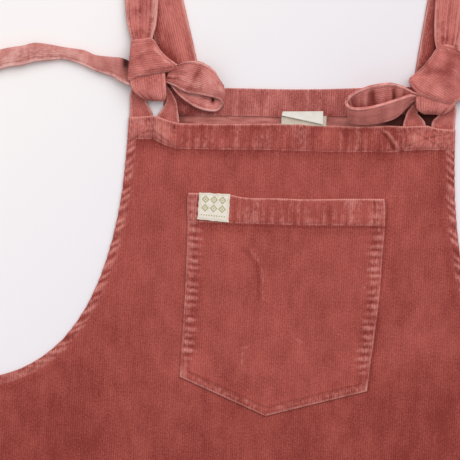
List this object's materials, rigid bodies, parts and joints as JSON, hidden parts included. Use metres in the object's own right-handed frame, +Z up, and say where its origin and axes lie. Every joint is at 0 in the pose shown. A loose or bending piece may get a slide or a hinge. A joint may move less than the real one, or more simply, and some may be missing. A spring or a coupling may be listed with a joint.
{
  "type": "pinafore dress",
  "caption": "Corduroy pinafore dress laid flat: bib with chest pocket over a back bib, straps tied through loops in slipped knots, flared skirt.",
  "frame": {"origin": "on the surface the dress lies on, under the middle of its outline", "axes": "+X to the right of the laid-out dress as seen from above, +Y from the hem towards the shoulders, +Z up from the surface"},
  "size_m": [0.66, 0.9754, 0.0301],
  "materials": {
    "corduroy": "fine dusty-rose corduroy, washed",
    "corduroy_strap": "fine dusty-rose corduroy, worn lighter along its edges",
    "corduroy_inside": "smooth wrong side of the corduroy",
    "woven_label": "cream woven label with a plain khaki motif"
  },
  "bodies": {
    "root": {"back_panel": "corduroy_inside", "back_top_hem": "corduroy_strap", "back_bottom_hem": "corduroy_inside", "care_label": "woven_label", "back_label": "woven_label", "front_panel": "corduroy", "front_top_hem": "corduroy", "front_armhole_hem_left": "corduroy", "front_armhole_hem_right": "corduroy", "front_bottom_hem": "corduroy", "pocket": "corduroy", "pocket_top_hem": "corduroy", "pocket_patch": "woven_label", "loop_left": "corduroy", "loop_right": "corduroy", "strap_left": "corduroy_strap", "strap_right": "corduroy_strap", "knot_wrap_left": "corduroy_strap", "knot_wrap_right": "corduroy_strap", "knot_pass_left": "corduroy_strap", "knot_pass_right": "corduroy_strap", "bow_left": "corduroy_strap", "bow_right": "corduroy_strap", "tail_left": "corduroy_strap", "tail_right": "corduroy_strap"}
  },
  "joints": []
}
